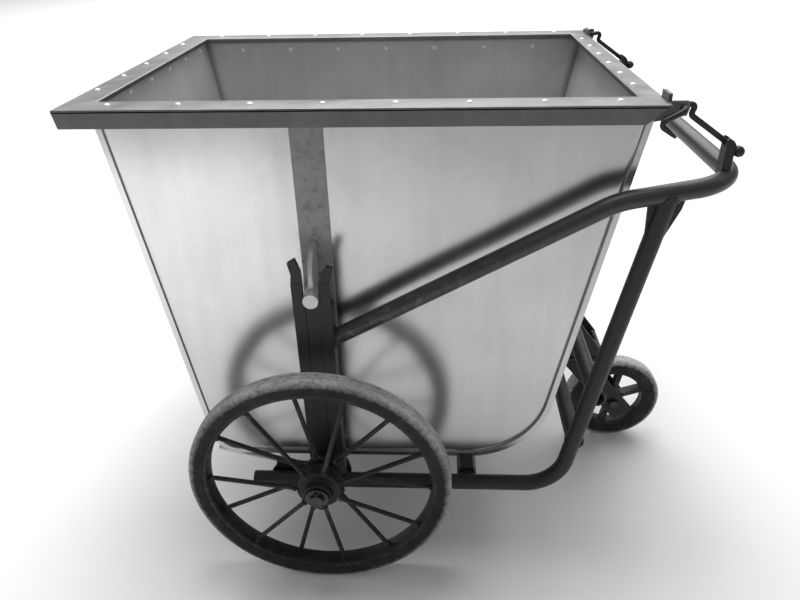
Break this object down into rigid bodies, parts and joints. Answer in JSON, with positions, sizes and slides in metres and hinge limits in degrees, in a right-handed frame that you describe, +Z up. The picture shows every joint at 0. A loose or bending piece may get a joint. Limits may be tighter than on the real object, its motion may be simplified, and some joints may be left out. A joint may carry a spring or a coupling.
{
  "type": "three-wheel tipping hand cart",
  "caption": "Hand-pushed refuse cart: a galvanised sheet hopper tips forward on side pins in a tube frame with spoked wheels and a rear caster.",
  "frame": {"origin": "on the ground, under the middle of the cart's overall length and width", "axes": "+X towards the handle end, +Y to the pusher's right, +Z up; the hopper tips towards -X"},
  "size_m": [1.161, 1.006, 0.945],
  "materials": {
    "galvanised_steel": "galvanised sheet, softly reflective, with faint spangle",
    "frame_paint": "dark grey brushed-on paint, semi-gloss, worn",
    "wheel_paint": "near-black paint, semi-gloss",
    "plain_steel": "plain zinc-plated steel, dulled",
    "tyre_rubber": "solid rubber, matt, dusty tread",
    "caster_rubber": "solid grey rubber, matt",
    "caster_core": "cast core, dark paint"
  },
  "bodies": {
    "frame": {"handle_tube": "frame_paint", "leg_tube_left": "frame_paint", "leg_tube_right": "frame_paint", "leg_gussets": "frame_paint", "post_left": "frame_paint", "post_right": "frame_paint", "pin_guides": "frame_paint", "rail_plates": "frame_paint", "cross_tube_front": "frame_paint", "cross_tube_middle": "frame_paint", "cross_tube_low": "frame_paint", "cross_tube_high": "frame_paint", "rest_blocks": "frame_paint", "caster_mount_plate": "frame_paint", "caster_mount_gussets": "frame_paint", "latch_catches": "frame_paint", "rail_end_caps": "frame_paint", "stub_axle_left": "plain_steel", "stub_axle_right": "plain_steel", "axle_collars": "plain_steel", "cotter_pins": "plain_steel", "caster_top_plate": "plain_steel", "caster_mount_bolts": "plain_steel", "caster_swivel_race": "plain_steel", "caster_kingpin": "plain_steel"},
    "trunnions": {"trunnion_pin_left": "galvanised_steel", "trunnion_pin_right": "galvanised_steel"},
    "hopper": {"hopper_wrapper": "galvanised_steel", "hopper_side_left": "galvanised_steel", "hopper_side_right": "galvanised_steel", "rim_rail_left": "frame_paint", "rim_rail_right": "frame_paint", "rim_rail_front": "frame_paint", "rim_rail_rear": "frame_paint", "rim_cap": "galvanised_steel", "rim_rivets": "galvanised_steel", "wall_rivets": "galvanised_steel", "side_strips": "frame_paint", "trunnion_gussets": "galvanised_steel", "corner_skids": "galvanised_steel", "latch_brackets": "frame_paint"},
    "latch_left": {"latch_rod_left": "frame_paint"},
    "latch_right": {"latch_rod_right": "frame_paint"},
    "main_wheel_left": {"wheel_left_tyre": "tyre_rubber", "wheel_left_rim": "wheel_paint", "wheel_left_spokes": "wheel_paint", "wheel_left_hub": "wheel_paint", "wheel_left_bearings": "plain_steel"},
    "main_wheel_right": {"wheel_right_tyre": "tyre_rubber", "wheel_right_rim": "wheel_paint", "wheel_right_spokes": "wheel_paint", "wheel_right_hub": "wheel_paint", "wheel_right_bearings": "plain_steel"},
    "caster_swivel": {"caster_fork": "frame_paint", "caster_axle_bolt": "plain_steel"},
    "caster_wheel": {"caster_rim": "caster_core", "caster_spokes": "caster_core", "caster_hub": "caster_core", "caster_bush": "plain_steel", "caster_tyre": "caster_rubber"}
  },
  "joints": [
    {"name": "hopper_lift", "type": "slide", "parent": "frame", "child": "trunnions", "axis": [0, 0, 1], "range_m": [0, 0.1]},
    {"name": "hopper_tip", "type": "hinge", "parent": "trunnions", "child": "hopper", "pos_m": [-0.1955, 0, 0.615], "axis": [0, -1, 0], "range_deg": [0, 100]},
    {"name": "latch_left_swing", "type": "hinge", "parent": "hopper", "child": "latch_left", "pos_m": [0.3865, -0.352, 0.929], "axis": [0, -1, 0], "range_deg": [0, 140]},
    {"name": "latch_right_swing", "type": "hinge", "parent": "hopper", "child": "latch_right", "pos_m": [0.3865, 0.352, 0.929], "axis": [0, -1, 0], "range_deg": [0, 140]},
    {"name": "main_wheel_left_spin", "type": "hinge", "parent": "frame", "child": "main_wheel_left", "pos_m": [-0.1985, -0.451, 0.25], "axis": [0, 1, 0], "continuous": true},
    {"name": "main_wheel_right_spin", "type": "hinge", "parent": "frame", "child": "main_wheel_right", "pos_m": [-0.1985, 0.451, 0.25], "axis": [0, 1, 0], "continuous": true},
    {"name": "caster_swivel", "type": "hinge", "parent": "frame", "child": "caster_swivel", "pos_m": [0.3695, 0, 0.237], "axis": [0, 0, 1], "continuous": true},
    {"name": "caster_wheel_spin", "type": "hinge", "parent": "caster_swivel", "child": "caster_wheel", "pos_m": [0.4655, 0, 0.115], "axis": [0, 1, 0], "continuous": true}
  ]
}
